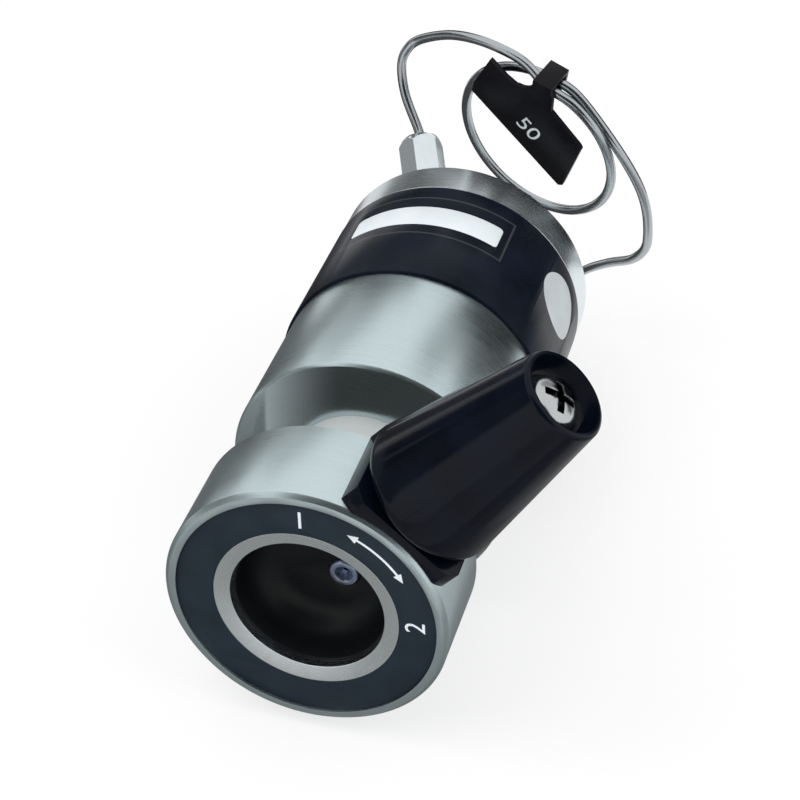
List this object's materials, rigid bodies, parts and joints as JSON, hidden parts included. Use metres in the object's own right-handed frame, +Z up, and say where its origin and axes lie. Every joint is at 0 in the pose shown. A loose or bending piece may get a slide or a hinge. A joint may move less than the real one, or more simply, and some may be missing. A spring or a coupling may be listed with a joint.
{
  "type": "hplc injection valve",
  "caption": "Panel-mounted manual sample injection valve: lever handle with a needle port in its hub, steel body, switch ring and a stator that carries a sample loop.",
  "frame": {"origin": "centre of the body's flat front face, which bears on the panel", "axes": "+Y along the valve's axis from the handle to the stator, +Z up"},
  "size_m": [0.0573, 0.1063, 0.0628],
  "materials": {
    "steel": "fine circumferential brushing",
    "bright_steel": "polished",
    "screw_steel": "bright",
    "dark_steel": "black oxide",
    "grip_plastic": "glossy moulded",
    "funnel_plastic": "glossy moulded",
    "ring_plastic": "satin",
    "label_black": "satin film",
    "label_white": "satin film",
    "port_metal": "satin, bluish",
    "seal_polymer": "fine",
    "ceramic": "ground",
    "bronze": "turned",
    "hard_steel": "ground",
    "magnet": "nickel plated",
    "board": "satin",
    "capsule": "clear",
    "rubber": "moulded"
  },
  "bodies": {
    "valve": {"front_thrust_washer": "hard_steel", "spring_washers": "hard_steel", "pressure_nut": "bright_steel", "nut_lock_screw": "dark_steel", "valve_body": "steel", "stop_ring": "hard_steel", "shaft_bushing": "bronze", "switch_ring": "ring_plastic", "side_label": "label_white", "round_label": "label_white", "switch_board": "board", "reed_switch": "capsule", "cable_grommet": "rubber", "stator_face": "ceramic", "stator_pins": "hard_steel", "stator": "steel", "stator_screws": "dark_steel", "port_nuts": "bright_steel", "ferrules": "hard_steel", "loop_tube": "bright_steel", "loop_tag": "ring_plastic"},
    "handle": {"handle_hub": "steel", "handle_label": "label_black", "bezel_ring": "bright_steel", "funnel_cup": "funnel_plastic", "needle_port": "port_metal", "needle_tube": "hard_steel", "hub_set_screws": "dark_steel", "lever_collar": "grip_plastic", "lever_grip": "grip_plastic", "lever_screw": "screw_steel", "shaft": "hard_steel", "stop_pin": "hard_steel", "rotor_pins": "hard_steel", "rotor_seal": "seal_polymer", "rear_thrust_washer": "hard_steel", "magnet_collar": "ring_plastic", "switch_magnet": "magnet"},
    "bearing": {"bearing_cage": "bronze", "bearing_balls": "screw_steel"}
  },
  "joints": [
    {"name": "handle_turn", "type": "hinge", "parent": "valve", "child": "handle", "pos_m": [0, 0, 0], "axis": [0, 1, 0], "range_deg": [0, 60]},
    {"name": "cage_turn", "type": "hinge", "parent": "valve", "child": "bearing", "pos_m": [0, 0, 0], "axis": [0, 1, 0], "range_deg": [0, 30]}
  ],
  "couplings": [
    {"joint": "cage_turn", "follows": "handle_turn", "ratio": 0.5}
  ]
}
